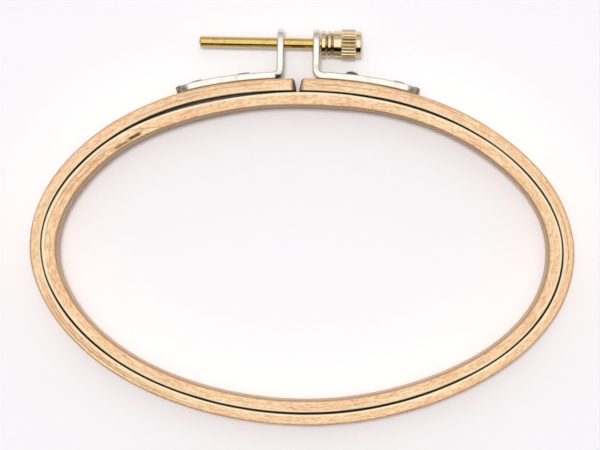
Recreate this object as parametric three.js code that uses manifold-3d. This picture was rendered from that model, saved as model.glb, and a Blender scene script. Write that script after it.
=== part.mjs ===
// Oval embroidery hoop: a split outer hoop of bent beech that a brass thumb screw draws tight
// round a closed inner hoop. Millimetres, +Z up. It lies flat on the table, screw towards +Y.
import * as THREE from 'three';
import { mergeVertices } from 'three/addons/utils/BufferGeometryUtils.js';
import Module from 'manifold-3d';

const wasm = await Module();
wasm.setup();

// Wooden hoops. The oval is the parting line, midway between the two hoops.
const ovalHalfLength = 66.95;
const ovalHalfWidth = 41.15;
const hoopHeight = 10;
const outerWall = 3.1;
const innerWall = 3.1;
const hoopClearance = 0.4;
const edgeRound = 0.5;
const hoopSegments = 96;
const edgeSegments = 3;

// The inner hoop's scarfed and glued ends are stiffer than the rest of the strip, so the hoop
// is bent a little less there and is drawn in from the outer one.
const scarfAngle = THREE.MathUtils.degToRad(118);
const scarfHalfSpan = THREE.MathUtils.degToRad(26);
const scarfFlat = 0.6;

// Saw cut through the outer hoop, a little to the left of the oval's short axis. Its two ends
// are eased apart towards the outside.
const cutX = -1.95;
const cutWidth = 1.4;
const cutFlare = 0.65;

// Brackets of steel strip, bent to an L: the foot follows the hoop and the ear holds the screw.
const stripWidth = 7.5;
const stripThickness = 1.8;
const bendRadius = 0.8;
const footLength = 25.6;
const earSpacing = 7.45;
const bendSegments = 8;
const footSegments = 16;

// Rivets through each foot and the wood. Three are hammered nearly flat, and the right one
// beside the ear keeps a proud domed head.
const rivetRadius = 0.8;
const rivetHeadRadius = 1.65;
const flatHeadHeight = 0.4;
const proudHeadHeight = 0.9;
const nearRivet = 7.7;
const farRivetFromTip = 5.6;
const rivetRecess = 0.2;
const rivetSegments = 20;
const domeSegments = 4;

// Thumb screw. Its thread runs in the left ear and passes loosely through the right one.
const screwRise = 9.7;
const screwRadius = 1.47;
const screwTail = 20.1;
const threadPlay = 0.1;
const rightHolePlay = 0.65;
const tipChamfer = 0.35;
const screwSegments = 32;

// Washer, and the turned and knurled knob that is pressed on the screw.
const washerSlack = 0.4;
const washerRadius = 3.45;
const washerThickness = 1.1;
const neckRadius = 2.5;
const neckLength = 0.45;
const beadRadius = 3.4;
const beadLength = 0.9;
const grooveRadius = 2.8;
const grooveLength = 0.5;
const collarRadius = 3.4;
const collarLength = 2.2;
const drumRadius = 3.8;
const drumLength = 3.6;
const capRadius = 3.4;
const capLength = 1.4;
const turnedChamfer = 0.25;
const endRecess = 0.3;
const knurlCount = 24;
const knurlDepth = 0.32;
const knobSegments = 48;

// Small gaps that keep pieces which sit on or in each other apart.
const seatGap = 0.1;
const fitGap = 0.12;

const outerHoopInside = hoopClearance / 2;
const outerHoopOutside = outerHoopInside + outerWall;
const innerHoopOutside = -hoopClearance / 2;
const innerHoopInside = innerHoopOutside - innerWall;
const footUnderside = outerHoopOutside + seatGap;
const footTop = footUnderside + stripThickness;
const crownY = ovalHalfWidth + outerHoopOutside;
const screwY = crownY + screwRise;
const earTopY = screwY + stripWidth / 2;
const topY = Math.max(earTopY, screwY + drumRadius);
const farRivet = footLength - farRivetFromTip;
const middleZ = hoopHeight / 2;
const overcut = 1;

const beech = new THREE.MeshStandardMaterial({ color: 0xf0c896, roughness: 0.6 });
const nickel = new THREE.MeshStandardMaterial({ color: 0xd9d6cc, roughness: 0.3, metalness: 1 });
const brass = new THREE.MeshStandardMaterial({ color: 0xe3bd6b, roughness: 0.25, metalness: 1 });

// Direction square to the oval, pointing away from its middle.
function hoopNormal(angle) {
  return new THREE.Vector2(
    ovalHalfWidth * Math.cos(angle),
    ovalHalfLength * Math.sin(angle),
  ).normalize();
}

// Point at a distance outside the parting line.
function hoopPoint(angle, offset) {
  return new THREE.Vector2(
    ovalHalfLength * Math.cos(angle),
    ovalHalfWidth * Math.sin(angle),
  ).addScaledVector(hoopNormal(angle), offset);
}

// How far the inner hoop is drawn in at an angle, for its flatter stretch at the scarf.
function drawnInAtScarf(angle) {
  const turned = Math.abs(angle - scarfAngle) / scarfHalfSpan;
  return turned < 1 ? (scarfFlat * (1 + Math.cos(turned * Math.PI))) / 2 : 0;
}

// A closed geometry as a solid that can be joined and cut.
function solidOf(geometry) {
  const bare = geometry.index ? geometry.toNonIndexed() : geometry.clone();
  bare.deleteAttribute('normal');
  bare.deleteAttribute('uv');
  const merged = mergeVertices(bare, 1e-4);
  return new wasm.Manifold(
    new wasm.Mesh({
      numProp: 3,
      vertProperties: merged.attributes.position.array,
      triVerts: new Uint32Array(merged.index.array),
    }),
  );
}

function geometryOf(solid) {
  const mesh = solid.getMesh();
  const geometry = new THREE.BufferGeometry();
  geometry.setAttribute('position', new THREE.BufferAttribute(mesh.vertProperties, 3));
  geometry.setIndex(new THREE.BufferAttribute(mesh.triVerts, 1));
  const faceted = geometry.toNonIndexed();
  faceted.computeVertexNormals();
  return faceted;
}

function namedMesh(name, geometry, material) {
  const mesh = new THREE.Mesh(geometry, material);
  mesh.name = name;
  return mesh;
}

// Frame with X along one direction and Y along another, at a point of the plan.
function frameAt(point, along, up) {
  const x = new THREE.Vector3(along.x, along.y, 0);
  const y = new THREE.Vector3(up.x, up.y, 0);
  const z = new THREE.Vector3().crossVectors(x, y);
  return new THREE.Matrix4().makeBasis(x, y, z).setPosition(point.x, point.y, middleZ);
}

// Closed wooden ring between two distances from the parting line, its edges rounded over.
function hoopGeometry(inside, outside, drawnIn) {
  const loop = (offset) =>
    Array.from({ length: hoopSegments }, (_, i) => {
      const angle = (i * 2 * Math.PI) / hoopSegments;
      return hoopPoint(angle, offset - drawnIn(angle));
    });
  const shape = new THREE.Shape(loop(outside));
  shape.holes.push(new THREE.Path(loop(inside)));
  const geometry = new THREE.ExtrudeGeometry(shape, {
    depth: hoopHeight - 2 * edgeRound,
    bevelThickness: edgeRound,
    bevelSize: edgeRound,
    bevelOffset: -edgeRound,
    bevelSegments: edgeSegments,
  });
  return geometry.translate(0, 0, edgeRound);
}

// The saw cut: a wedge that widens from the hoop's inner face to its outer one.
function sawCut() {
  const cornerAt = (side, depth) =>
    new THREE.Vector2(
      cutX + side * (cutWidth / 2 + (cutFlare * depth) / outerWall),
      crownY - outerWall + depth,
    );
  const inner = -overcut;
  const outer = outerWall + overcut;
  const section = new THREE.Shape([
    cornerAt(-1, inner),
    cornerAt(1, inner),
    cornerAt(1, outer),
    cornerAt(-1, outer),
  ]);
  const geometry = new THREE.ExtrudeGeometry(section, {
    depth: hoopHeight + 2 * overcut,
    bevelEnabled: false,
  });
  return solidOf(geometry.translate(0, 0, -overcut));
}

// Angle at which a line at some distance outside the parting line crosses a given x.
function angleAtX(x, offset) {
  let low = 0;
  let high = Math.PI;
  while (high - low > 1e-9) {
    const middle = (low + high) / 2;
    if (hoopPoint(middle, offset).x > x) low = middle;
    else high = middle;
  }
  return (low + high) / 2;
}

// Angle reached from a start angle after a distance along the strip, away from the cut.
function angleAlongFoot(start, distance, side) {
  const step = 0.001;
  const offset = footUnderside + stripThickness / 2;
  let angle = start;
  let here = hoopPoint(angle, offset);
  for (let walked = 0; walked < distance; ) {
    angle -= side * step;
    const next = hoopPoint(angle, offset);
    walked += next.distanceTo(here);
    here = next;
  }
  return angle;
}

// Where one bracket lies: side is 1 for the right bracket and -1 for the left one. The centre of
// its bend stands off the hoop by the bend, and its foot starts under that centre.
function bracketLayout(side) {
  const bendMiddle = bendRadius + stripThickness / 2;
  const earX = cutX + (side * (earSpacing + stripThickness)) / 2;
  const bendOffset = footTop + bendRadius;
  const footStart = angleAtX(earX + side * bendMiddle, bendOffset);
  return {
    side,
    bendMiddle,
    earX,
    footStart,
    bendCentre: hoopPoint(footStart, bendOffset),
    angleAt: (distance) => angleAlongFoot(footStart, distance, side),
  };
}

// The strip's middle line from the ear's top, round the bend and along the foot. Each station
// has its point and the direction of the strip's upper face, the one inside the bend.
function stripStations({ side, bendMiddle, earX, footStart, bendCentre, angleAt }) {
  const earFace = new THREE.Vector2(side, 0);
  const stations = [{ point: new THREE.Vector2(earX, earTopY), face: earFace }];
  const turnStart = side > 0 ? 0 : Math.PI;
  const turn = hoopNormal(footStart).angle() - turnStart;
  for (let i = 0; i <= bendSegments; i++) {
    const angle = turnStart + (turn * i) / bendSegments;
    const face = new THREE.Vector2(Math.cos(angle), Math.sin(angle));
    stations.push({ point: bendCentre.clone().addScaledVector(face, -bendMiddle), face });
  }
  for (let i = 1; i <= footSegments; i++) {
    const angle = angleAt((footLength * i) / footSegments);
    const point = hoopPoint(angle, footUnderside + stripThickness / 2);
    stations.push({ point, face: hoopNormal(angle) });
  }
  return stations;
}

// What is trimmed off a strip's square end to leave it half round, about a centre that is half
// the strip's width back from the end.
function endTrimming(frame) {
  const radius = stripWidth / 2;
  const reach = radius + overcut;
  const depth = 3 * stripThickness;
  const block = new THREE.BoxGeometry(reach, depth, 2 * reach).translate(reach / 2, 0, 0);
  const round = new THREE.CylinderGeometry(radius, radius, 2 * depth, knobSegments);
  return solidOf(block.applyMatrix4(frame)).subtract(solidOf(round.applyMatrix4(frame)));
}

// A drill through the strip or the wood, along the frame's Y axis.
function drill(frame, radius, depth, segments) {
  const geometry = new THREE.CylinderGeometry(radius, radius, depth, segments);
  return solidOf(geometry.applyMatrix4(frame));
}

// Frame at an angle of the oval and a distance outside the parting line, its Y axis square to
// the hoop and its X axis along the foot.
function footFrame(angle, side, height) {
  const up = hoopNormal(angle);
  return frameAt(hoopPoint(angle, height), new THREE.Vector2(side * up.y, -side * up.x), up);
}

function rivetDrill({ side, angleAt }, distance) {
  const depth = 2 * (outerWall + stripThickness + overcut);
  const frame = footFrame(angleAt(distance), side, footTop);
  return drill(frame, rivetRadius + fitGap, depth, rivetSegments);
}

function bracketGeometry(layout, holeRadius) {
  const stations = stripStations(layout);
  const face = (distance) =>
    stations.map((station) => station.point.clone().addScaledVector(station.face, distance));
  const outline = [...face(stripThickness / 2), ...face(-stripThickness / 2).reverse()];
  const strip = new THREE.ExtrudeGeometry(new THREE.Shape(outline), {
    depth: stripWidth,
    bevelEnabled: false,
  }).translate(0, 0, middleZ - stripWidth / 2);

  const { side, earX, angleAt } = layout;
  const up = new THREE.Vector2(0, 1);
  const earFrame = frameAt(new THREE.Vector2(earX, screwY), up, new THREE.Vector2(side, 0));
  const tipAngle = angleAt(footLength - stripWidth / 2);
  const tipFrame = footFrame(tipAngle, side, footUnderside + stripThickness / 2);
  return geometryOf(
    solidOf(strip)
      .subtract(endTrimming(earFrame))
      .subtract(endTrimming(tipFrame))
      .subtract(drill(earFrame, holeRadius, 2 * stripThickness, screwSegments))
      .subtract(rivetDrill(layout, nearRivet))
      .subtract(rivetDrill(layout, farRivet)),
  );
}

// Rivet along +Y, the underside of its head at 0 and its shank ending just inside the wood.
function rivetGeometry(headHeight) {
  const shank = seatGap + stripThickness + seatGap + outerWall - rivetRecess;
  const profile = [
    new THREE.Vector2(0, -shank),
    new THREE.Vector2(rivetRadius, -shank),
    new THREE.Vector2(rivetRadius, 0),
    new THREE.Vector2(rivetHeadRadius, 0),
  ];
  for (let i = 1; i <= domeSegments; i++) {
    const angle = ((i / domeSegments) * Math.PI) / 2;
    const x = i < domeSegments ? rivetHeadRadius * Math.cos(angle) : 0;
    profile.push(new THREE.Vector2(x, headHeight * Math.sin(angle)));
  }
  return new THREE.LatheGeometry(profile, rivetSegments);
}

// Threaded rod along +Y, chamfered at its tip.
function rodGeometry(length) {
  return new THREE.LatheGeometry(
    [
      new THREE.Vector2(0, 0),
      new THREE.Vector2(screwRadius - tipChamfer, 0),
      new THREE.Vector2(screwRadius, tipChamfer),
      new THREE.Vector2(screwRadius, length),
      new THREE.Vector2(0, length),
    ],
    screwSegments,
  );
}

// A turned ring along +Y with a bore that fits the screw, from pairs of outside radius and
// height.
function turnedRing(outside) {
  const bore = screwRadius + fitGap;
  const [, first] = outside[0];
  const [, last] = outside[outside.length - 1];
  const profile = [[bore, first], ...outside, [bore, last], [bore, first]];
  return new THREE.LatheGeometry(
    profile.map(([radius, y]) => new THREE.Vector2(radius, y)),
    knobSegments,
  );
}

function washerGeometry() {
  return turnedRing([
    [washerRadius - turnedChamfer, 0],
    [washerRadius, turnedChamfer],
    [washerRadius, washerThickness],
  ]);
}

// The turned blank of the knob: neck, bead, groove, collar, drum and end cap.
function knobGeometry() {
  const c = turnedChamfer;
  const beadY = neckLength;
  const grooveY = beadY + beadLength;
  const collarY = grooveY + grooveLength;
  const drumY = collarY + collarLength;
  const capY = drumY + drumLength;
  const endY = capY + capLength;
  const blank = turnedRing([
    [neckRadius, 0],
    [neckRadius, beadY],
    [beadRadius - c, beadY],
    [beadRadius, beadY + c],
    [beadRadius, grooveY - c],
    [beadRadius - c, grooveY],
    [grooveRadius, grooveY],
    [grooveRadius, collarY],
    [collarRadius - c, collarY],
    [collarRadius, collarY + c],
    [collarRadius, drumY],
    [drumRadius - c, drumY],
    [drumRadius, drumY + c],
    [drumRadius, capY - c],
    [drumRadius - c, capY],
    [capRadius, capY],
    [capRadius, endY - c],
    [capRadius - c, endY],
  ]);
  // Each groove of the straight knurl is the corner of a square bar that reaches into the drum.
  const barSide = 2 * knurlDepth;
  const bar = new THREE.BoxGeometry(barSide, drumLength, barSide)
    .rotateY(Math.PI / 4)
    .translate(drumRadius - knurlDepth + barSide / Math.SQRT2, drumY + drumLength / 2, 0);
  let solid = solidOf(blank);
  for (let i = 0; i < knurlCount; i++) {
    const turned = bar.clone().rotateY((i * 2 * Math.PI) / knurlCount);
    solid = solid.subtract(solidOf(turned));
  }
  return { geometry: geometryOf(solid), length: endY };
}

// Assembly
const hoop = new THREE.Group();
hoop.position.y = (crownY - topY) / 2;
const left = bracketLayout(-1);
const right = bracketLayout(1);
const rivets = [
  ['left_rivet_near', left, nearRivet, flatHeadHeight],
  ['left_rivet_far', left, farRivet, flatHeadHeight],
  ['right_rivet_near', right, nearRivet, proudHeadHeight],
  ['right_rivet_far', right, farRivet, flatHeadHeight],
];

let outerSolid = solidOf(hoopGeometry(outerHoopInside, outerHoopOutside, () => 0));
outerSolid = outerSolid.subtract(sawCut());
for (const [, layout, distance] of rivets) {
  outerSolid = outerSolid.subtract(rivetDrill(layout, distance));
}
hoop.add(
  namedMesh('outer_hoop', geometryOf(outerSolid), beech),
  namedMesh(
    'inner_hoop',
    hoopGeometry(innerHoopInside, innerHoopOutside, drawnInAtScarf),
    beech,
  ),
  namedMesh('left_bracket', bracketGeometry(left, screwRadius + threadPlay), nickel),
  namedMesh('right_bracket', bracketGeometry(right, screwRadius + rightHolePlay), nickel),
);

for (const [name, layout, distance, headHeight] of rivets) {
  const rivet = namedMesh(name, rivetGeometry(headHeight), nickel);
  footFrame(layout.angleAt(distance), layout.side, footTop + seatGap).decompose(
    rivet.position,
    rivet.quaternion,
    rivet.scale,
  );
  hoop.add(rivet);
}

// The screw's group has its Y axis along the screw, and its origin at the outer face of the
// right ear.
const screw = new THREE.Group();
const earFaceX = right.earX + stripThickness / 2;
const tipX = left.earX - stripThickness / 2 - screwTail;
const knobStart = washerSlack + washerThickness + seatGap;
const knobShape = knobGeometry();
const rodLength = earFaceX - tipX + knobStart + knobShape.length - endRecess;
screw.position.set(earFaceX, screwY, middleZ);
screw.rotation.z = -Math.PI / 2;
const rod = namedMesh('screw_rod', rodGeometry(rodLength), brass);
rod.position.y = tipX - earFaceX;
const washer = namedMesh('washer', washerGeometry(), brass);
washer.position.y = washerSlack;
const knob = namedMesh('knob', knobShape.geometry, brass);
knob.position.y = knobStart;
screw.add(rod, washer, knob);
hoop.add(screw);

export default hoop;
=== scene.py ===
# Oval embroidery hoop on a pale table, seen from straight above.
import math

import bmesh
import bpy
import numpy as np
from mathutils import Matrix, Vector


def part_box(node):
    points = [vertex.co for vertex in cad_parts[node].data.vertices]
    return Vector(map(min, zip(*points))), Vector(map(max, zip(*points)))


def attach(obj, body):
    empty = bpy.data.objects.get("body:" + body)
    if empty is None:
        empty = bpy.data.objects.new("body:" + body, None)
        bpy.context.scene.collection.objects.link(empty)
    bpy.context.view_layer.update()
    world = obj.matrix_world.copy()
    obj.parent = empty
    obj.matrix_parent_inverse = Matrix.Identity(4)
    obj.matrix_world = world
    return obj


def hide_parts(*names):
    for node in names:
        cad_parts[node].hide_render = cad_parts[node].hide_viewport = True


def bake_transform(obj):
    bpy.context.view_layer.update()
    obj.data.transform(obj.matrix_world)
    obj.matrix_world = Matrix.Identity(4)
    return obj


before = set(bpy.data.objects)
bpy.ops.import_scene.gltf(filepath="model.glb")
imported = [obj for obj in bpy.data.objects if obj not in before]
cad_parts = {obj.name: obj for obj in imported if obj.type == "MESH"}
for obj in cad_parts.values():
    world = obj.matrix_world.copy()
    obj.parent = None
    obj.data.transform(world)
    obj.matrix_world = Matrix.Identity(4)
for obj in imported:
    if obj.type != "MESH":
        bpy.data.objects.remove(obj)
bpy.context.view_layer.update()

MM = 0.001


# Outer hoop
# A strip of beech, steamed, bent to an oval and left bare, with a saw cut at the top that lets it
# spring open. Away from its brackets it is sanded thinner. It is dressed as two halves that meet
# at the bottom.
outer_low, outer_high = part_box("outer_hoop")
inner_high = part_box("inner_hoop")[1]
hoop_centre = (outer_low + outer_high) / 2
hoop_height = outer_high.z - outer_low.z
hoop_clearance = 0.4 * MM
hoop_wall = outer_high.x - inner_high.x - hoop_clearance
oval_half_length = inner_high.x - hoop_centre.x + hoop_clearance / 2
oval_half_width = inner_high.y - hoop_centre.y + hoop_clearance / 2
outer_inside = hoop_clearance / 2
outer_outside = outer_inside + hoop_wall
arris_round = 0.5 * MM
least_arris_round = 0.15 * MM
arris_wobble = 0.3
wall_wobble = 0.05 * MM
height_wobble = 0.06 * MM
sanded_depth = 0.3 * MM
strip_sharp_from = 50
station_step = 0.75 * MM

left_low, left_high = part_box("left_bracket")
right_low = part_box("right_bracket")[0]
cut_x = (left_high.x + right_low.x) / 2
cut_width = 1.4 * MM
cut_flare = 0.65 * MM
cut_round = 0.2 * MM
cut_slant_fades = 12 * MM

turns = np.linspace(-2 * math.pi, math.pi, 9001)
upper_turns = np.linspace(math.pi, 0, 20001)

# Waves that go once, twice and so on round the oval: their cosine and sine in millimetres. They
# and the mean were fitted by a program to the strip's edge, as measured every 5 degrees.
wander_mean = 0.22 * MM
wander_waves = (
    (-0.05, 0.43),
    (-0.17, -0.11),
    (0.07, 0.23),
    (0.08, -0.05),
    (0.01, -0.09),
    (0.08, 0.0),
    (-0.05, 0.06),
)


def oval_facing(turn):
    """Direction, as an angle in the plan, that the oval's outside looks in at a turn."""
    return np.arctan2(oval_half_length * np.sin(turn), oval_half_width * np.cos(turn))


def wander(turn):
    """How far the bent strips stand outside a true oval at a turn."""
    return wander_mean + MM * sum(
        cosine * np.cos((i + 1) * turn) + sine * np.sin((i + 1) * turn)
        for i, (cosine, sine) in enumerate(wander_waves)
    )


def oval_points(turn, offset):
    """Points of the plan at a turn of the parting oval and a distance outside it."""
    facing = oval_facing(turn)
    offset = offset + wander(turn)
    x = hoop_centre.x + oval_half_length * np.cos(turn) + offset * np.cos(facing)
    y = hoop_centre.y + oval_half_width * np.sin(turn) + offset * np.sin(facing)
    return x, y


def distances(offset):
    """Distance walked along the line at an offset, for each of the turns."""
    x, y = oval_points(turns, offset)
    return np.concatenate([[0], np.cumsum(np.hypot(np.diff(x), np.diff(y)))])


def turn_after(turn, distance, offset):
    """Turn that is reached from another after a distance along the line at an offset."""
    walked = distances(offset)
    return np.interp(np.interp(turn, turns, walked) + distance, walked, turns)


def turn_at_x(x, offset):
    """Turn in the upper half of the oval at which the line at an offset crosses an x."""
    return float(np.interp(x, oval_points(upper_turns, offset)[0], upper_turns))


strip_distances = distances(0)


def distance_at(turn):
    """Distance walked along the parting oval up to a turn."""
    return np.interp(turn, turns, strip_distances)


strip_length = float(distance_at(math.pi) - distance_at(-math.pi))


def hand_wobble(distance, waves, seed):
    """A slow wander from -1 to 1 along a strip, as bending and sanding by hand leave it. Its
    waves are as long as they say in millimetres, and a seed sets where each of them starts."""
    seed_step = 1.7
    return sum(
        np.sin(2 * math.pi * distance / (wave * MM) + seed * (i + 1) * seed_step)
        for i, wave in enumerate(waves)
    ) / len(waves)


def smooth_object(name, mesh, sharp_from):
    """An object of a mesh, smooth but for edges sharper than an angle in degrees."""
    mesh.shade_smooth()
    mesh.set_sharp_from_angle(angle=math.radians(sharp_from))
    made = bpy.data.objects.new(name, mesh)
    bpy.context.collection.objects.link(made)
    return made


def ring_faces(rows, columns, closed):
    """Quads between rows of points, each row a loop, and between the last row and the first."""
    faces = []
    for i in range(rows if closed else rows - 1):
        for j in range(columns):
            next_row = (i + 1) % rows
            next_column = (j + 1) % columns
            faces.append((
                i * columns + j,
                next_row * columns + j,
                next_row * columns + next_column,
                i * columns + next_column,
            ))
    return faces


def section_loop(corner_steps, wall_steps, face_steps):
    """The strip's section as a loop of (corner across, corner up, lean across, lean up)."""
    loop = []
    corners = [(1, 0, -90), (1, 1, 0), (0, 1, 90), (0, 0, 180)]
    for i, (across, up, first_lean) in enumerate(corners):
        leans = [
            math.radians(first_lean + 90 * step / corner_steps)
            for step in range(corner_steps + 1)
        ]
        loop += [(across, up, math.cos(lean), math.sin(lean)) for lean in leans]
        next_across, next_up, _ = corners[(i + 1) % 4]
        steps = wall_steps if next_across == across else face_steps
        for step in range(1, steps):
            share = step / steps
            loop.append((
                across + (next_across - across) * share,
                up + (next_up - up) * share,
                math.cos(leans[-1]),
                math.sin(leans[-1]),
            ))
    return np.array(loop)


def bent_strip(
    name, stations, insets, slants, leans, inside, thicker, slimmer, seed, closed=False
):
    """A strip of wood bent round the oval: its section at each station, a little uneven.

    insets is how far the section is drawn in at a station. slants and leans turn its outside
    and its lower edge on from its inside and its upper one. inside, thicker and slimmer tell
    where the strip's inside stands at a turn, and what the wall has more there or less outside.
    Each corner of the mesh keeps its place on the straight strip, in millimetres, as
    strip_place: along the grain, across the wall and up."""
    loop = section_loop(corner_steps=5, wall_steps=8, face_steps=5)
    column = distance_at(stations)[:, None]
    insets = insets[:, None]
    rounding = arris_round * (1 + arris_wobble * hand_wobble(column, (61, 23, 9.5), seed + 2))
    rounding = np.maximum(rounding - insets / 2, least_arris_round)
    grown = thicker(stations)[:, None]
    lost = slimmer(stations)[:, None]
    wall = hoop_wall + wall_wobble * hand_wobble(column, (83, 31, 14), seed)
    wall = wall + grown - lost - 2 * insets
    tall = hoop_height - height_wobble * (1 + hand_wobble(column, (120, 47, 19), seed + 5))
    tall = tall - 2 * insets
    across = loop[:, 0] * (wall - 2 * rounding) + rounding * (1 + loop[:, 2]) + insets - grown
    up = loop[:, 1] * (tall - 2 * rounding) + rounding * (1 + loop[:, 3]) + insets
    turned = stations[:, None] + slants[:, None] * (across / hoop_wall - 0.5)
    turned = turned + leans[:, None] * (1 - up / hoop_height)
    x, y = oval_points(turned, inside(turned) + across)
    points = np.stack([x, y, outer_low.z + up], axis=-1).reshape(-1, 3)
    rows, columns = across.shape
    faces = ring_faces(rows, columns, closed)
    if not closed:
        faces.append(tuple(range(columns)))
        faces.append(tuple(range((rows - 1) * columns, rows * columns)))

    mesh = bpy.data.meshes.new(name)
    mesh.from_pydata(points.tolist(), [], faces)
    inward = (across + grown) * hoop_wall / (hoop_wall + grown - lost)
    places = np.stack([distance_at(turned), inward, up], axis=-1) / MM
    corners = np.empty(len(mesh.loops), int)
    mesh.loops.foreach_get("vertex_index", corners)
    places = places.reshape(-1, 3)[corners]
    if closed:
        # The last row of quads ends at the first station, a whole lap further on.
        last_quads = places[-4 * columns:].reshape(columns, 4, 3)
        last_quads[:, 1:3, 0] += strip_length / MM
    mesh.attributes.new("strip_place", "FLOAT_VECTOR", "CORNER")
    mesh.attributes["strip_place"].data.foreach_set("vector", places.ravel())
    work = bmesh.new()
    work.from_mesh(mesh)
    bmesh.ops.recalc_face_normals(work, faces=work.faces)
    work.to_mesh(mesh)
    work.free()
    return smooth_object(name, mesh, strip_sharp_from)


def cut_turn(side, share):
    """Turn of the saw cut's face on one side, at a share of the wall from the inside."""
    x = cut_x + side * (cut_width / 2 + cut_flare * share)
    return turn_at_x(x, outer_inside + share * hoop_wall)


bottom_turn = -turn_at_x(cut_x, outer_inside + hoop_wall / 2)


def outer_face(turn):
    """Where the outer hoop's inside stands: on its oval all the way round."""
    return np.full_like(turn, outer_inside)


def swelling(turn, middle, half_span):
    """1 at one turn in degrees, falling to 0 at a span before and after it."""
    off = (np.degrees(turn) - middle + 180) % 360 - 180
    return (1 + np.cos(np.clip(np.abs(off) / half_span, 0, 1) * math.pi)) / 2


def sanded_away(turn):
    """What sanding has taken off the outside, which it leaves alone by the brackets."""
    spared = swelling(turn, middle=90, half_span=75) ** 0.3
    return sanded_depth * (1 - spared)


def half_hoop(name, side, lean, seed):
    """The outer hoop on one side of the saw cut, from its eased end round to the bottom.

    lean is how far the cut's lower edge stands into the cut."""
    start = cut_turn(side, 0.5) - (2 * math.pi if side < 0 else 0)
    slant = cut_turn(side, 1) - cut_turn(side, 0)
    length = abs(distance_at(bottom_turn) - distance_at(start))
    ease = np.linspace(0, math.pi / 2, 6)
    eased = cut_round * (1 - np.cos(ease))
    plain = np.linspace(cut_round, length, round(length / station_step) + 1)[1:]
    gone = np.concatenate([eased, plain])
    insets = np.concatenate([cut_round * (1 - np.sin(ease)), np.zeros(len(plain))])
    faded = np.clip(gone / cut_slant_fades, 0, 1)
    left_of_fade = 1 - faded * faded * (3 - 2 * faded)
    leans = side * lean / oval_half_length * left_of_fade
    stations = turn_after(start, -side * gone, 0)
    return bent_strip(
        name, stations, insets, slant * left_of_fade, leans, outer_face, np.zeros_like,
        sanded_away, seed,
    )


class Shade:
    """A socket of a material's nodes. Python's operators on it add Math nodes."""

    # Numbers of the colour sockets on a Mix node.
    mix_from, mix_to, mix_result = 6, 7, 2

    def __init__(self, tree, socket=None):
        self.tree = tree
        self.socket = socket

    def node(self, kind, settings, inputs, output=0):
        """Adds a node of a kind, with settings and with values or links for its sockets."""
        added = self.tree.nodes.new("ShaderNode" + kind)
        for name, value in settings.items():
            setattr(added, name, value)
        for name, value in inputs.items():
            if isinstance(value, Shade):
                self.tree.links.new(value.socket, added.inputs[name])
            else:
                added.inputs[name].default_value = value
        return Shade(self.tree, added.outputs[output] if len(added.outputs) else None)

    def maths(self, operation, *values):
        return self.node("Math", {"operation": operation}, dict(enumerate(values)))

    def __add__(self, other):
        return self.maths("ADD", self, other)

    def __sub__(self, other):
        return self.maths("SUBTRACT", self, other)

    def __rsub__(self, other):
        return self.maths("SUBTRACT", other, self)

    def __mul__(self, other):
        return self.maths("MULTIPLY", self, other)

    def __abs__(self):
        return self.maths("ABSOLUTE", self)

    def maximum(self, other):
        return self.maths("MAXIMUM", self, other)

    __radd__ = __add__
    __rmul__ = __mul__

    def rise(self, low, high):
        """0 below one value, 1 above the other and smooth between."""
        inputs = {"Value": self, "From Min": low, "From Max": high}
        return self.node("MapRange", {"interpolation_type": "SMOOTHSTEP"}, inputs)

    def noise(self, scale, detail, shift=(0, 0, 0)):
        """Noise of this vector, with a scale for each of its axes, or one for all."""
        scale = np.broadcast_to(scale, 3).tolist()
        moved = self.node("Mapping", {}, {"Vector": self, "Location": shift, "Scale": scale})
        inputs = {"Vector": moved, "Scale": 1, "Detail": detail, "Roughness": 0.55}
        return self.node("TexNoise", {}, inputs)

    def mix(self, first, second, share):
        """One colour mixed with another by a share."""
        inputs = {"Factor": share}
        for name, colour in ((self.mix_from, first), (self.mix_to, second)):
            inputs[name] = colour if isinstance(colour, Shade) else (*colour, 1)
        return self.node("Mix", {"data_type": "RGBA"}, inputs, self.mix_result)

    def tint(self, colour, share):
        """This colour, mixed with another one by a share."""
        return self.mix(self, colour, share)

    def axes(self):
        """The three numbers of this vector."""
        return [self.node("SeparateXYZ", {}, {"Vector": self}, axis) for axis in range(3)]

    def off_axis(self):
        """How far this place is from the X axis."""
        _, y, z = self.axes()
        return self.maths("SQRT", y * y + z * z)

    def bumped(self, height):
        """The normal of a surface on which this value runs from 0 to 1 over a height."""
        return self.node("Bump", {}, {"Height": self, "Distance": height})


def painted(name, paint):
    """A material whose Principled sockets are what paint makes of an empty node tree."""
    material = bpy.data.materials.new(name)
    material.use_nodes = True
    material.node_tree.nodes.clear()
    start = Shade(material.node_tree)
    surface = start.node("BsdfPrincipled", {}, paint(start))
    start.node("OutputMaterial", {}, {"Surface": surface})
    return material


# Each noise of the grain: its scale along the grain, across the wall and up, per millimetre, its
# detail, and by how many axes its shift is turned, which keeps the pinks off the patches.
patch_grain = ((0.1, 0.6, 0.5), 2, 0)
pink_grain = ((0.05, 0.35, 0.3), 2, 1)
band_grain = ((0.14, 1.9, 1.5), 3, 0)
fibre_grain = ((0.3, 7, 6), 4, 0)
dash_grain = ((0.5, 2.9, 2.3), 3, 0)
fleck_grain = ((0.75, 2.4, 2.2), 2, 0)
pore_grain = ((1.6, 22, 18), 2, 0)
strip_shift = (13.7, 5.1, 3.3)

heart_honey = (0.95, 0.54, 0.27)
sap_cream = (0.99, 0.73, 0.43)
steamed_pink = (0.97, 0.54, 0.35)
spring_growth = (1.0, 0.80, 0.48)
summer_growth = (0.82, 0.40, 0.18)
fibre_brown = (0.70, 0.31, 0.11)
ray_brown = (0.50, 0.22, 0.08)
fleck_brown = (0.74, 0.34, 0.15)
fleck_cream = (1.0, 0.86, 0.57)
pore_brown = (0.58, 0.28, 0.11)
sanding_dust = (1.0, 0.81, 0.58)
gap_edge_highlight_cream = (1.0, 0.88, 0.62)
free_wall_shade_brown = (0.36, 0.21, 0.12)
gap_wall_shade_brown = (0.30, 0.15, 0.07)


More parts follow.
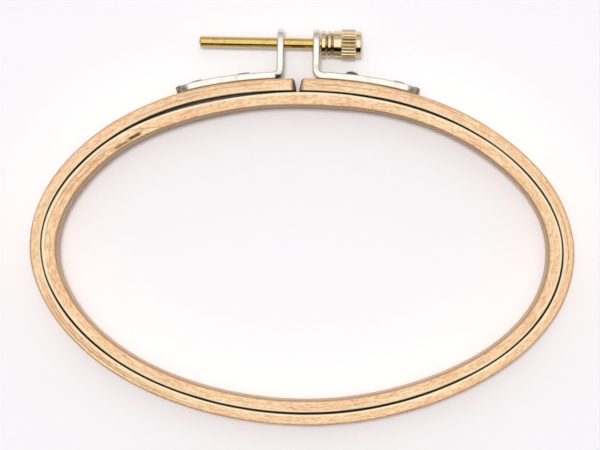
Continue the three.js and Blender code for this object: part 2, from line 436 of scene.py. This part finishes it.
def beech(name, seed, gap_side, gap_wall_shade, free_wall_shade, marks):
    """Bare sanded beech. gap_side is 1 where the strip's wall across 0 faces the other hoop, or
    -1 where its far wall does. The next two arguments are how strongly painted shade darkens that
    wall and the free one, and marks adds that strip's own lines."""
    wall = hoop_wall / MM
    half_height = hoop_height / MM / 2

    def paint(wood):
        place = wood.node("Attribute", {"attribute_name": "strip_place"}, {}, "Vector")
        along, across, up = place.axes()
        shift = [seed * size for size in strip_shift]
        patches, pinks, bands, fibres, dashes, flecks, pores = [
            place.noise(scale, detail, shift[turned:] + shift[:turned])
            for scale, detail, turned in (
                patch_grain, pink_grain, band_grain, fibre_grain, dash_grain, fleck_grain,
                pore_grain,
            )
        ]
        dashes = dashes.rise(0.58, 0.68)
        pores = pores.rise(0.6, 0.72)
        colour = wood.mix(heart_honey, sap_cream, patches.rise(0.35, 0.65))
        for tone, mask, share in (
            (steamed_pink, pinks.rise(0.5, 0.65), 0.6),
            (spring_growth, bands.rise(0.52, 0.66), 0.6),
            (summer_growth, bands.rise(0.48, 0.34), 0.55),
            (fibre_brown, fibres.rise(0.5, 0.25), 0.4),
            (ray_brown, dashes, 0.7),
            (fleck_brown, flecks.rise(0.54, 0.64), 0.55),
            (fleck_cream, flecks.rise(0.46, 0.36), 0.6),
            (pore_brown, pores, 0.35),
        ):
            colour = colour.tint(tone, mask * share)
        dusty = 0.15
        colour = colour.tint(sanding_dust, dusty)

        from_gap = across if gap_side > 0 else wall - across
        near_face = abs(up - half_height).rise(half_height - 0.9, half_height - 0.3)
        gap_edge_highlight = (1 - from_gap.rise(0.3, 0.8)) * near_face
        free_side = from_gap.rise(wall - 0.6, wall - 0.3)
        in_gap = 1 - from_gap.rise(0, 0.12)
        # Painted highlight: the arrises beside the gap are lightened to cream.
        colour = colour.tint(gap_edge_highlight_cream, gap_edge_highlight * 0.85)
        # Painted shade: the free wall and its arris are browned.
        colour = colour.tint(free_wall_shade_brown, free_side * (free_wall_shade + 0.4 * near_face))
        # Painted shade: the wall that faces the other hoop is darkened.
        colour = colour.tint(gap_wall_shade_brown, in_gap * gap_wall_shade)
        relief = fibres * 0.6 + bands * 0.4 - dashes * 0.5 - pores * 0.4
        return {
            "Base Color": marks(colour, along, across, fibres),
            "Roughness": 0.62 - 0.12 * fibres.rise(0.3, 0.7) + 0.08 * dashes,
            "Normal": relief.bumped(0.03 * MM),
            "Specular IOR Level": 0.35,
        }

    return painted(name, paint)


def long_line(along, across, middle, slope, start, reach, width):
    """A thin line along the grain that reaches from a distance on, fading out at its ends."""
    longest_fade = 3
    fade = min(longest_fade, reach / 4)
    end = start + reach
    shown = along.rise(start, start + fade) * (1 - along.rise(end - fade, end))
    off = abs(across - middle - (along - start) * slope)
    return shown * (1 - off.rise(width * 0.4, width))


def millimetres_at(degrees):
    """Place along the strip, in millimetres, of a turn between -360 and 180 degrees."""
    return float(distance_at(math.radians(degrees))) / MM


cut_degrees = math.degrees(turn_at_x(cut_x, 0))
end_grain_full = 1.1
end_grain_gone = 1.9
left_end_grain_and_shade = (0.10, 0.05, 0.03)
brown_end = (0.30, 0.16, 0.08)
growth_line_brown = (0.40, 0.19, 0.08)
growth_line_width = 0.16

# Growth lines: place across the wall, slope, the turn in degrees that they start at, and reach.
outer_growth_lines = (
    (1.0, 0.012, -166, 42),
    (1.6, 0.008, -172, 55),
    (2.1, -0.006, -163, 38),
    (1.9, 0.004, -262, 24),
    (1.2, -0.010, -248, 20),
    (1.7, -0.006, 70, 22),
    (2.2, 0.006, 52, 18),
    (1.3, 0.008, -8, 30),
)


def outer_marks(colour, along, across, fibres):
    """Cut ends browner than the faces, the left one darker still with painted shade, and growth
    lines that surface.
    """
    from_left_end = along - millimetres_at(cut_degrees - 360)
    from_right_end = along - millimetres_at(cut_degrees)
    left_end = 1 - from_left_end.rise(end_grain_full, end_grain_gone)
    right_end = from_right_end.rise(-end_grain_gone, -end_grain_full)
    # The left cut end is end grain, darkened further with painted shade.
    colour = colour.tint(left_end_grain_and_shade, left_end * 0.9)
    colour = colour.tint(brown_end, right_end * 0.8)
    for middle, slope, degrees, reach in outer_growth_lines:
        start = millimetres_at(degrees)
        line = long_line(along, across, middle, slope, start, reach, growth_line_width)
        colour = colour.tint(growth_line_brown, line * fibres.rise(0.2, 0.55) * 0.65)
    return colour


outer_beech = beech(
    "beech_outer", seed=1, gap_side=1, gap_wall_shade=0.9, free_wall_shade=0.1, marks=outer_marks
)
outer_left = half_hoop("outer_hoop_left_half", -1, 0.5 * MM, 3)
outer_left.data.materials.append(outer_beech)
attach(outer_left, "outer_hoop")
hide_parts("outer_hoop")
outer_right = half_hoop("outer_hoop_right_half", 1, 0.4 * MM, 3)
outer_right.data.materials.append(outer_beech)
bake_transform(outer_right)
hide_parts("outer_hoop")


# Inner hoop
# A closed beech strip that carries the fabric, its ends cut to long wedges and glued over each
# other at the upper left. There it is thicker and has sprung away from the outer hoop, and it is
# also thicker in some places that were sanded less.
seam_degrees = 128 - 360
seam_slant = 11 * MM

# Where it stands closer in or further out: by how many millimetres, the turn, and half the span.
fit_changes = (
    (-0.12, 8, 22),
    (-0.10, 42, 18),
    (0.18, 68, 18),
    (0.58, 114, 27),
    (0.06, 150, 22),
    (-0.15, 180, 28),
    (0.08, 206, 22),
    (0.16, 280, 44),
    (-0.05, 318, 18),
    (0.06, 346, 22),
)
overlap_thicker = 0.6 * MM

# Thicker places in the same way.
thick_places = (
    (0.55, 10, 34),
    (0.3, 46, 20),
    (0.5, 92, 18),
    (0.5, 182, 40),
)


def changes_at(turn, changes):
    """What some places' changes come to at a turn."""
    return MM * sum(size * swelling(turn, middle, span) for size, middle, span in changes)


def inner_face(turn):
    """Where the inner hoop's inside stands, as its own spring has left it."""
    return -hoop_clearance / 2 - hoop_wall - changes_at(turn, fit_changes)


def extra_wall(turn):
    """How much thicker the inner hoop is: where its ends lie over each other, and in places."""
    overlap = swelling(turn, middle=152, half_span=62) ** 0.7
    return overlap_thicker * overlap + changes_at(turn, thick_places)


glue_brown = (0.40, 0.20, 0.08)
streak_brown = (0.14, 0.07, 0.02)
glue_start = millimetres_at(130 - 360)
glue_end = millimetres_at(138 - 360)

# Streaks: place across the wall, slope, start along the strip, reach, width and share.
glue_streaks = (
    (1.05, 0, glue_start - 0.7, 4.8, 0.48, 1),
    (0.8, 0.03, glue_start + 3.2, 5.4, 0.4, 0.75),
    (1.6, 0.01, glue_start + 7, 12, 0.16, 0.4),
    (1.1, 0.02, glue_end + 1, 22, 0.14, 0.4),
    (2.1, 0.01, glue_end + 6, 30, 0.14, 0.35),
    (2.4, 0.004, glue_end + 2, 18, 0.12, 0.35),
)


def inner_marks(colour, along, across, fibres):
    """The glue line of the scarf, and the brown growth lines that run out beside it."""
    slanted = (across * (MM / hoop_wall) - 0.5) * (seam_slant / MM)
    off_seam = abs(along - slanted - millimetres_at(seam_degrees))
    colour = colour.tint(glue_brown, (1 - off_seam.rise(0.15, 0.5)) * 0.5)
    for middle, slope, start, reach, width, share in glue_streaks:
        line = long_line(along, across, middle, slope, start, reach, width)
        colour = colour.tint(streak_brown, line * fibres.rise(0, 0.4) * share)
    return colour


inner_count = round(strip_length / station_step)
inner_walk = np.arange(inner_count) * strip_length / inner_count
inner_stations = turn_after(math.radians(seam_degrees), inner_walk, 0)
unbent = np.zeros(inner_count)
seam_slants = np.full(inner_count, seam_slant / oval_half_length)
inner_hoop = bent_strip(
    "inner_hoop_strip", inner_stations, unbent, seam_slants, unbent, inner_face, extra_wall,
    np.zeros_like, seed=8, closed=True,
)
inner_beech = beech(
    "beech_inner", seed=5, gap_side=-1, gap_wall_shade=0.55, free_wall_shade=0.35, marks=inner_marks
)
inner_hoop.data.materials.append(inner_beech)
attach(inner_hoop, "inner_hoop")
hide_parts("inner_hoop")


# Brackets
# Bright plated steel strip, sheared with half-round ends, deburred and bent to an L. The foot
# follows the hoop and is riveted to it; the ear stands up and holds the screw. The feet's tips
# are painted rust brown, for rust and for the shade of their rounded ends, and the left bend
# is painted black for the shadow in the gap under it.
strip_width = left_high.z - left_low.z
strip_thickness = 1.8 * MM
strip_round = 0.32 * MM
bend_radius = 0.8 * MM
foot_length = 25.6 * MM
seat_gap = 0.1 * MM
foot_underside = outer_outside + seat_gap
rod_low, rod_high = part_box("screw_rod")
screw_y = (rod_low.y + rod_high.y) / 2
screw_z = (rod_low.z + rod_high.z) / 2
screw_radius = (rod_high.z - rod_low.z) / 2
thread_play = 0.1 * MM
loose_play = 0.65 * MM
hole_chamfer = 0.25 * MM
drill_overrun = 0.2 * MM


def ear_middle(side):
    """The x of an ear's middle. A side is 1 for the right bracket and -1 for the left one."""
    towards_cut = right_low.x if side > 0 else left_high.x
    return towards_cut + side * strip_thickness / 2


def foot_start(side):
    """Turn at which a foot starts, under the centre of its bend."""
    centre_x = ear_middle(side) + side * (bend_radius + strip_thickness / 2)
    return turn_at_x(centre_x, foot_underside + strip_thickness + bend_radius)


def foot_turn(side, distance):
    """Turn under a point of the foot's middle line, at a distance from the bend."""
    return turn_after(foot_start(side), -side * distance, foot_underside + strip_thickness / 2)


def bracket_line(side):
    """The strip's middle line from the ear's top round the bend to the foot's tip.

    Gives its points, the direction of the face inside the bend, and the distance walked."""
    bend_middle = bend_radius + strip_thickness / 2
    start = foot_start(side)
    bend_offset = foot_underside + strip_thickness + bend_radius
    centre_x, centre_y = oval_points(start, bend_offset)
    ear_facing = 0 if side > 0 else math.pi
    bend = np.linspace(ear_facing, oval_facing(start), 33)
    foot = foot_turn(side, np.linspace(0, foot_length, 97)[1:])
    foot_x, foot_y = oval_points(foot, foot_underside + strip_thickness / 2)
    x = np.concatenate([[ear_middle(side)], centre_x - bend_middle * np.cos(bend), foot_x])
    y = np.concatenate([[left_high.y], centre_y - bend_middle * np.sin(bend), foot_y])
    facing = np.concatenate([[ear_facing], bend, oval_facing(foot)])
    walked = np.concatenate([[0], np.cumsum(np.hypot(np.diff(x), np.diff(y)))])
    return x, y, facing, walked


def strip_loop(face_steps, corner_steps):
    """The strip's section as a loop of (share of the half width, edge inset, height)."""
    half = strip_thickness / 2
    corner = [
        (strip_round * (1 - math.cos(lean)), half - strip_round * (1 - math.sin(lean)))
        for lean in np.linspace(math.pi / 2, 0, corner_steps + 1)
    ]
    upper = [(share, strip_round, half) for share in np.linspace(-1, 1, face_steps + 1)[1:-1]]
    right = [(1, inset, height) for inset, height in corner]
    right += [(1, inset, -height) for inset, height in reversed(corner)]
    loop = upper + right
    return np.array(loop + [(-share, inset, -height) for share, inset, height in loop])


def new_piece(name, points, faces, sharp_from=35):
    """A closed mesh that faces out, with points at one place merged."""
    same_place = 1e-7
    mesh = bpy.data.meshes.new(name)
    mesh.from_pydata(np.asarray(points, float).tolist(), [], faces)
    work = bmesh.new()
    work.from_mesh(mesh)
    bmesh.ops.remove_doubles(work, verts=work.verts, dist=same_place)
    bmesh.ops.dissolve_degenerate(work, edges=work.edges, dist=same_place)
    bmesh.ops.recalc_face_normals(work, faces=work.faces)
    work.to_mesh(mesh)
    work.free()
    return smooth_object(name, mesh, sharp_from)


def strip_piece(name, side):
    """A bent strip with half-round ends and rounded edges."""
    x, y, facing, walked = bracket_line(side)
    radius = strip_width / 2
    ends = np.linspace(0, math.pi / 2, 13)
    straight = np.linspace(radius, walked[-1] - radius, 110)[1:-1]
    middles = np.concatenate([
        np.full(len(ends), radius),
        straight,
        np.full(len(ends), walked[-1] - radius),
    ])
    reaches = np.concatenate([-np.cos(ends), np.zeros(len(straight)), np.cos(ends[::-1])])
    widths = np.concatenate([np.sin(ends), np.ones(len(straight)), np.sin(ends[::-1])])
    share, inset, height = strip_loop(face_steps=12, corner_steps=4).T
    along = middles[:, None] + reaches[:, None] * (radius - inset)
    across = share * widths[:, None] * (radius - inset)
    lean = np.interp(along, walked, facing)
    points = np.stack([
        np.interp(along, walked, x) + height * np.cos(lean),
        np.interp(along, walked, y) + height * np.sin(lean),
        screw_z + across,
    ], axis=-1).reshape(-1, 3)
    return new_piece(name, points, ring_faces(*along.shape, closed=False))


def turned_piece(name, along, radii, segments, frame_of_axis, sharp_from=35, closed=False):
    """A body of revolution about the X axis of a frame. radii has one value for each place
    along it, or a row of them round the axis. A closed one has its last row joined to its
    first."""
    around = np.linspace(0, 2 * math.pi, segments, endpoint=False)
    rows = np.asarray(radii, float).reshape(len(along), -1)
    radii = np.broadcast_to(rows, (len(along), segments))
    places = np.broadcast_to(np.asarray(along, float)[:, None], radii.shape)
    points = np.stack([places, radii * np.cos(around), radii * np.sin(around)], axis=-1)
    faces = ring_faces(*radii.shape, closed=closed)
    turned = new_piece(name, points.reshape(-1, 3), faces, sharp_from)
    turned.matrix_world = frame_of_axis
    return turned


def cut_out(piece, cutter, sharp_from=30):
    """Cuts the cutter out of a piece and deletes it."""
    boolean = piece.modifiers.new("cut", "BOOLEAN")
    boolean.operation = "DIFFERENCE"
    boolean.solver = "EXACT"
    boolean.object = cutter
    bpy.context.view_layer.update()
    cut = piece.evaluated_get(bpy.context.evaluated_depsgraph_get())
    mesh = bpy.data.meshes.new_from_object(cut)
    mesh.set_sharp_from_angle(angle=math.radians(sharp_from))
    piece.modifiers.clear()
    piece.data = mesh
    bpy.data.objects.remove(cutter)


def ear_drill(side, radius):
    """What the drill and the countersink take out of an ear."""
    half = strip_thickness / 2
    past = half + drill_overrun
    along = [-past, -past, -half + hole_chamfer, half - hole_chamfer, past, past]
    mouth = radius + hole_chamfer + drill_overrun
    radii = [0, mouth, radius, radius, mouth, 0]
    centre = Matrix.Translation((ear_middle(side), screw_y, screw_z))
    return turned_piece("ear_drill", along, radii, segments=64, frame_of_axis=centre)


bright_plating = (0.86, 0.83, 0.74)
dull_plating = (0.74, 0.69, 0.58)
rust_and_shade_brown = (0.14, 0.05, 0.03)
bend_shadow_black = (0.02, 0.012, 0.008)
tips_middle_x = -1.8 * MM
tip_mark_from = 29.8 * MM
tip_mark_full = 30.6 * MM
bend_shadow_x = -6.9 * MM
bend_shadow_y = 38.2 * MM
bend_shadow_full = 0.6 * MM
bend_shadow_gone = 1.1 * MM


def plated_steel(start):
    """Bright plating over strip that was drawn and tumbled: fine lines and small dents, with
    painted rust brown at both feet's tips, for rust and the shade of their rounded ends, and a
    painted shadow in black in the left bend."""
    place = start.node("TexCoord", {}, {}, "Object")
    x, y, _ = place.axes()
    lines = place.noise((160, 160, 24000), 3)
    dents = place.noise(1400, 3)
    dull = place.noise(420, 3).rise(0.5, 0.75)
    # Rust and painted shade at the feet's tips, and a painted shadow in the left bend.
    tips = abs(x - tips_middle_x).rise(tip_mark_from, tip_mark_full)
    off_bend = abs(x - bend_shadow_x).maximum(abs(y - bend_shadow_y))
    bend_shadow = 1 - off_bend.rise(bend_shadow_full, bend_shadow_gone)
    rust_and_shade = tips.maximum(bend_shadow) * (0.6 + 0.4 * dents.rise(0.35, 0.55))
    colour = start.mix(bright_plating, dull_plating, dull * 0.7)
    colour = colour.tint(rust_and_shade_brown, rust_and_shade * 0.9)
    colour = colour.tint(bend_shadow_black, bend_shadow * 0.9)
    relief = lines * 0.35 + dents * 0.65
    return {
        "Base Color": colour,
        "Metallic": 1 - 0.8 * rust_and_shade,
        "Roughness": 0.24 + 0.14 * dull + 0.08 * lines + 0.3 * rust_and_shade,
        "Normal": relief.bumped(0.02 * MM),
    }


bracket_steel = painted("plated_steel", plated_steel)
ears = (
    (-1, "left", screw_radius + thread_play),
    (1, "right", screw_radius + loose_play),
)
for side, word, hole_radius in ears:
    bracket = strip_piece(f"{word}_bracket_strip", side)
    cut_out(bracket, ear_drill(side, hole_radius))
    bracket.data.materials.append(bracket_steel)
    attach(bracket, "outer_hoop" if side < 0 else "right_bracket")
    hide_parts(f"{word}_bracket")


# Rivets
# Soft steel rivets through each foot and the wood, clenched over on the inside of the hoop. Three
# are hammered nearly flat; the right one beside the ear keeps its domed head.
rivet_radius = 0.8 * MM
rivet_segments = 40
head_radius = 1.65 * MM
head_bevel = 0.08 * MM
head_sunk = 0.02 * MM
near_rivet = 7.7 * MM
far_rivet = foot_length - 5.6 * MM
clench_radius = 1.15 * MM
clench_bevel = 0.1 * MM
clench_edge = 0.06 * MM
clench_thickness = 0.3 * MM
clench_stands = 0.03 * MM

# Heads: how high they stand, and how round their crown is.
flat_head = (0.4 * MM, 0.55)
domed_head = (0.9 * MM, 1)


def rivet_piece(name, side, distance, head, seed):
    """A rivet along the X axis of its frame, from the clench inside the hoop to the head."""
    turn = float(foot_turn(side, distance))
    facing = float(oval_facing(turn))
    seat = foot_underside + strip_thickness
    x, y = oval_points(turn, seat)
    seat_frame = Matrix.Translation((x, y, screw_z)) @ Matrix.Rotation(facing, 4, "Z")
    inside = outer_inside - seat - clench_stands
    head_height, roundness = head
    dome = np.linspace(0, math.pi / 2, 11)
    profile = [
        (inside, 0),
        (inside, clench_radius - clench_bevel),
        (inside + clench_edge, clench_radius),
        (inside + clench_thickness, rivet_radius),
        (-head_sunk, rivet_radius),
        (-head_sunk, head_radius - head_bevel),
    ]
    profile += zip(head_height * np.sin(dome) ** roundness, head_radius * np.cos(dome))
    along, radii = np.array(profile).T
    around = np.linspace(0, 2 * math.pi, rivet_segments, endpoint=False)
    dents = 0.03 * np.sin(3 * around + seed) + 0.02 * np.sin(5 * around + 2 * seed)
    radii = radii[:, None] * (1 + dents)
    return turned_piece(name, along, radii, rivet_segments, seat_frame, sharp_from=45)


hammered_bright = (0.72, 0.63, 0.50)
painted_rim_shade = (0.10, 0.055, 0.03)
grime_brown = (0.22, 0.13, 0.07)
rim_from = 1.15 * MM
rim_full = 1.6 * MM


def hammered_steel(start):
    """Hammer-marked steel, bright on the crown, with painted shade browning the rim where the
    head meets the strip.
    """
    place = start.node("TexCoord", {}, {}, "Object")
    rim = place.off_axis().rise(rim_from, rim_full)
    marks = place.noise(1900, 2)
    grime = place.noise(3200, 3).rise(0.45, 0.7)
    # Painted shade: the head's rim is browned.
    colour = start.mix(hammered_bright, painted_rim_shade, rim * 0.85)
    colour = colour.tint(grime_brown, grime * 0.45)
    return {
        "Base Color": colour,
        "Metallic": 1,
        "Roughness": 0.3 + 0.25 * rim + 0.1 * grime,
        "Normal": marks.bumped(0.08 * MM),
    }


rivet_steel = painted("hammered_steel", hammered_steel)
rivets = (
    ("left_rivet_near", -1, near_rivet, flat_head),
    ("left_rivet_far", -1, far_rivet, flat_head),
    ("right_rivet_near", 1, near_rivet, domed_head),
    ("right_rivet_far", 1, far_rivet, flat_head),
)
for seed, (node, side, distance, head) in enumerate(rivets):
    rivet = rivet_piece(f"{node}_head", side, distance, head, seed)
    rivet.data.materials.append(rivet_steel)
    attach(rivet, "outer_hoop" if side < 0 else "right_bracket")
    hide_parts(node)


# Screw
# A brass rod with a rolled 3 mm thread of 0.5 mm pitch, right-handed, chamfered at its tip. It
# is screwed through the left ear and passes loosely through the right one.
pitch = 0.5 * MM
thread_depth = 0.15 * MM
tip_chamfer = 0.35 * MM

# The thread's section: share of the pitch, and share of the depth that is left standing.
thread_shape = ((0, 1), (0.4, 1), (0.56, 0), (0.82, 0))


def threaded_rod(name, length, segments=32, sharp_from=30):
    """A rod along X from 0 whose rows of points climb with the thread, cut square at its ends."""
    turns_past_end = 2
    per_turn = len(thread_shape)
    rows = (math.ceil(length / pitch) + 2 * turns_past_end) * per_turn
    points = []
    for row in range(rows):
        share, height = thread_shape[row % per_turn]
        for column in range(segments):
            x = (row // per_turn - turns_past_end + share + column / segments) * pitch
            radius = screw_radius - thread_depth * (1 - height)
            radius = min(radius, screw_radius - tip_chamfer + max(x, 0))
            angle = 2 * math.pi * column / segments
            points.append((x, radius * math.cos(angle), radius * math.sin(angle)))
    faces = []
    for row in range(rows - per_turn - 1):
        for column in range(segments):
            after = 0 if column < segments - 1 else per_turn
            start = row * segments + column
            beside = (row + after) * segments + (column + 1) % segments
            faces.append((start, beside, beside + segments, start + segments))
    mesh = bpy.data.meshes.new(name)
    mesh.from_pydata(points, [], faces)
    work = bmesh.new()
    work.from_mesh(mesh)
    for end, outward in ((0, -1), (length, 1)):
        cut = bmesh.ops.bisect_plane(
            work,
            geom=work.verts[:] + work.edges[:] + work.faces[:],
            plane_co=(end, 0, 0),
            plane_no=(outward, 0, 0),
            clear_outer=True,
        )
        rim = [part for part in cut["geom_cut"] if isinstance(part, bmesh.types.BMEdge)]
        bmesh.ops.contextual_create(work, geom=rim)
    bmesh.ops.recalc_face_normals(work, faces=work.faces)
    work.to_mesh(mesh)
    work.free()
    return smooth_object(name, mesh, sharp_from)


tarnished_brass = (0.30, 0.16, 0.04)
rod_brass = (0.92, 0.70, 0.27)


def brass(name, bright, hollows):
    """Turned brass with fine tool marks round the axis, bright where a thumb rubs it and brown
    where hollows says that it can't, from the place along the axis and the distance from it."""

    def paint(start):
        place = start.node("TexCoord", {}, {}, "Object")
        x = place.axes()[0]
        out = place.off_axis()
        ring = (x + out) * (1 / MM)
        one_way = {"noise_dimensions": "1D"}
        marks = start.node("TexNoise", one_way, {"W": ring, "Scale": 9, "Detail": 3})
        patches = place.noise(500, 3)
        tarnish = hollows(x, out) * 0.8 + patches.rise(0.55, 0.72) * 0.2
        relief = marks * 0.6 + patches * 0.4
        return {
            "Base Color": start.mix(bright, tarnished_brass, tarnish),
            "Metallic": 1,
            "Roughness": 0.1 + 0.2 * tarnish + 0.05 * marks,
            "Normal": relief.bumped(0.006 * MM),
        }

    return painted(name, paint)


def thread_hollows(x, out):
    """The flanks of the thread, between its crests and its bottoms."""
    flank = 1 - out.rise(screw_radius - 0.5 * thread_depth, screw_radius - 0.1 * thread_depth)
    return flank * out.rise(screw_radius - thread_depth, screw_radius - 0.8 * thread_depth)


rod = threaded_rod("screw_rod_thread", rod_high.x - rod_low.x)
rod.location = (rod_low.x, screw_y, screw_z)
rod.data.materials.append(brass("brass_thread", rod_brass, thread_hollows))
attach(rod, "thumb_screw")
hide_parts("screw_rod")


# Washer
# A plain washer turned from brass. It lies loose on the rod between the right ear and the knob,
# and keeps the knob from scoring the plated ear.
washer_low, washer_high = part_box("washer")
washer_radius = (washer_high.z - washer_low.z) / 2
washer_thickness = washer_high.x - washer_low.x
washer_play = 0.05 * MM
washer_bore = screw_radius + washer_play
washer_edge = 0.18 * MM
washer_rubbed = 0.5 * MM
washer_brass = (0.84, 0.68, 0.42)


def rounded_line(corners, rounding, steps=4):
    """A line through (along, radius) corners, each corner but the ends rounded over."""
    most_of_a_side = 0.45
    line = [corners[0]]
    for before, corner, after in zip(corners, corners[1:], corners[2:]):
        corner = np.array(corner)
        back = before - corner
        ahead = after - corner
        back *= min(rounding / np.linalg.norm(back), most_of_a_side)
        ahead *= min(rounding / np.linalg.norm(ahead), most_of_a_side)
        for share in np.linspace(0, 1, steps + 1):
            line.append(corner + back * (1 - share) ** 2 + ahead * share ** 2)
    line.append(corners[-1])
    return np.array(line)


washer_corners = [
    (0, washer_bore),
    (0, washer_radius),
    (washer_thickness, washer_radius),
    (washer_thickness, washer_bore),
]
washer_along, washer_radii = rounded_line(washer_corners, washer_edge).T
washer = turned_piece(
    "turned_washer", washer_along, washer_radii, segments=96,
    frame_of_axis=Matrix.Translation((washer_low.x, screw_y, screw_z)), closed=True,
)


def washer_hollows(x, out):
    """The faces beside the bore."""
    return 1 - out.rise(washer_bore, washer_bore + washer_rubbed)


washer.data.materials.append(brass("brass_washer", washer_brass, washer_hollows))
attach(washer, "washer")
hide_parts("washer")


# Knob
# Turned from brass bar: neck, bead, groove, collar, drum and end cap. The drum has a straight
# knurl of 24 grooves for the thumb, and the rod is pressed in and peened over in the end.
knob_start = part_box("knob")[0].x
knurl_count = 24
knurl_depth = 0.34 * MM
knurl_half_width = 0.36 * MM
knurl_floor = 1.15
points_per_knurl = 14
turned_edge = 0.16 * MM
knob_bore = 1.3 * MM
end_recess = 0.3 * MM
end_rim_radius = 1.8 * MM
recess_floor_radius = 1.62 * MM
dulled_below = 2.85 * MM
bright_above = 3.1 * MM
knob_brass = (0.82, 0.67, 0.43)

# The knob's steps from the washer on: length and radius of each.
neck = (0.45 * MM, 2.5 * MM)
bead = (0.9 * MM, 3.4 * MM)
neck_groove = (0.5 * MM, 2.8 * MM)
collar = (2.2 * MM, 3.4 * MM)
drum = (3.6 * MM, 3.8 * MM)
end_cap = (1.4 * MM, 3.4 * MM)

corners = [(0, knob_bore)]
reached = 0
for length, radius in (neck, bead, neck_groove, collar, drum, end_cap):
    corners += [(reached, radius), (reached + length, radius)]
    reached += length
corners += [
    (reached, end_rim_radius),
    (reached - end_recess, recess_floor_radius),
    (reached - end_recess, knob_bore),
]
knob_line = rounded_line(corners, turned_edge)
drum_start = neck[0] + bead[0] + neck_groove[0] + collar[0]
drum_end = drum_start + drum[0]
drum_radius = drum[1]
around = np.linspace(0, 2 * math.pi, knurl_count * points_per_knurl, endpoint=False)
knurl_step = 2 * math.pi / knurl_count
from_knurl = np.abs((around + knurl_step / 2) % knurl_step - knurl_step / 2) * drum_radius
knurl = drum_radius - knurl_depth * np.clip(knurl_floor - from_knurl / knurl_half_width, 0, 1)
knob = turned_piece(
    "knurled_knob", knob_line[:, 0], np.minimum(knob_line[:, 1:], knurl), len(around),
    frame_of_axis=Matrix.Translation((knob_start, screw_y, screw_z)), sharp_from=40, closed=True,
)


def knob_hollows(x, out):
    """The neck, the groove beside the bead and the bottoms of the knurl."""
    in_from = 0.1 * MM
    in_full = 0.3 * MM
    on_drum = x.rise(drum_start + in_from, drum_start + in_full)
    on_drum = on_drum * (1 - x.rise(drum_end - in_full, drum_end - in_from))
    knurl_bottom = 1 - out.rise(drum_radius - 0.9 * knurl_depth, drum_radius - 0.4 * knurl_depth)
    below_bead = 1 - out.rise(dulled_below, bright_above)
    return (on_drum * knurl_bottom).maximum(below_bead * 0.8)


knob.data.materials.append(brass("brass_knob", knob_brass, knob_hollows))
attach(knob, "thumb_screw")
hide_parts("knob")


# Table, light and camera
# A pale, faintly pink paper sheet. A soft cap of sky stands overhead, dimmer at the far side and
# at both flanks and near black on the near side, and a soft ceiling light that leans in from the
# upper left lights the wood and the paper but isn't mirrored.
sheet_half = 12
sheet_z = -0.02 * MM
sheet_corners = [
    (-sheet_half, -sheet_half, sheet_z),
    (sheet_half, -sheet_half, sheet_z),
    (sheet_half, sheet_half, sheet_z),
    (-sheet_half, sheet_half, sheet_z),
]
sheet_mesh = bpy.data.meshes.new("paper_sheet")
sheet_mesh.from_pydata(sheet_corners, [], [(0, 1, 2, 3)])
sheet = bpy.data.objects.new("paper_sheet", sheet_mesh)
bpy.context.collection.objects.link(sheet)
paper_white = (0.965, 0.94, 0.965)
paper_fibre = (0.955, 0.93, 0.958)


def pale_paper(start):
    """Matt paper with faint fibres."""
    place = start.node("TexCoord", {}, {}, "Object")
    colour = start.mix(paper_white, paper_fibre, place.noise(900, 3).rise(0.4, 0.7))
    return {"Base Color": colour, "Roughness": 0.95, "Specular IOR Level": 0.1}


sheet_mesh.materials.append(painted("pale_paper", pale_paper))

cap_level = 1.27
cap_up, cap_north = 0.998, 0.06
cap_narrowing = 0.45
cap_edge = (0.73, 0.80)
flank_level = 0.1
far_side_adds = 0.55
flanks_share = 0.7
near_side_takes = 0.09
world = bpy.data.worlds.new("studio")
bpy.context.scene.world = world
world.use_nodes = True
world.node_tree.nodes.clear()
sky = Shade(world.node_tree)
east, north, height = sky.node("TexCoord", {}, {}, "Generated").axes()
off_cap_side = abs(east) * cap_narrowing
overhead = (height * cap_up + north * cap_north - off_cap_side).rise(*cap_edge)
above_horizon = height.rise(0, 0.3)
near_side = (north * -1).rise(0, 0.35)
far_side = north.rise(0.1, 0.5) * above_horizon
flanks = abs(east).rise(0.2, 0.5) * above_horizon * (1 - near_side)
level = flank_level + far_side_adds * far_side.maximum(flanks * flanks_share)
level = level - near_side_takes * near_side
level = level + (cap_level - level) * overhead
lit = sky.node("Background", {}, {"Color": (1, 1, 1, 1), "Strength": level})
sky.node("OutputWorld", {}, {"Surface": lit})

ceiling_light = bpy.data.lights.new("ceiling_light", "SUN")
ceiling_light.energy = 1.49
ceiling_light.angle = math.radians(8)
ceiling = bpy.data.objects.new("ceiling_light", ceiling_light)
ceiling.rotation_euler = (math.radians(-4.5), math.radians(-3), 0)
ceiling.visible_glossy = False
bpy.context.collection.objects.link(ceiling)

camera_height = 0.8
pixels_per_mm = 3.886
picture_width = 600 * MM / pixels_per_mm
camera_data = bpy.data.cameras.new("camera")
camera_data.sensor_width = 36
camera_data.lens = camera_data.sensor_width * camera_height / picture_width
camera = bpy.data.objects.new("camera", camera_data)
camera.location = (-0.65 * MM, 0.37 * MM, hoop_height + camera_height)
camera.rotation_euler = (0, 0, math.radians(1.1))
bpy.context.collection.objects.link(camera)
bpy.context.scene.camera = camera
bpy.context.scene.view_settings.view_transform = "Standard"
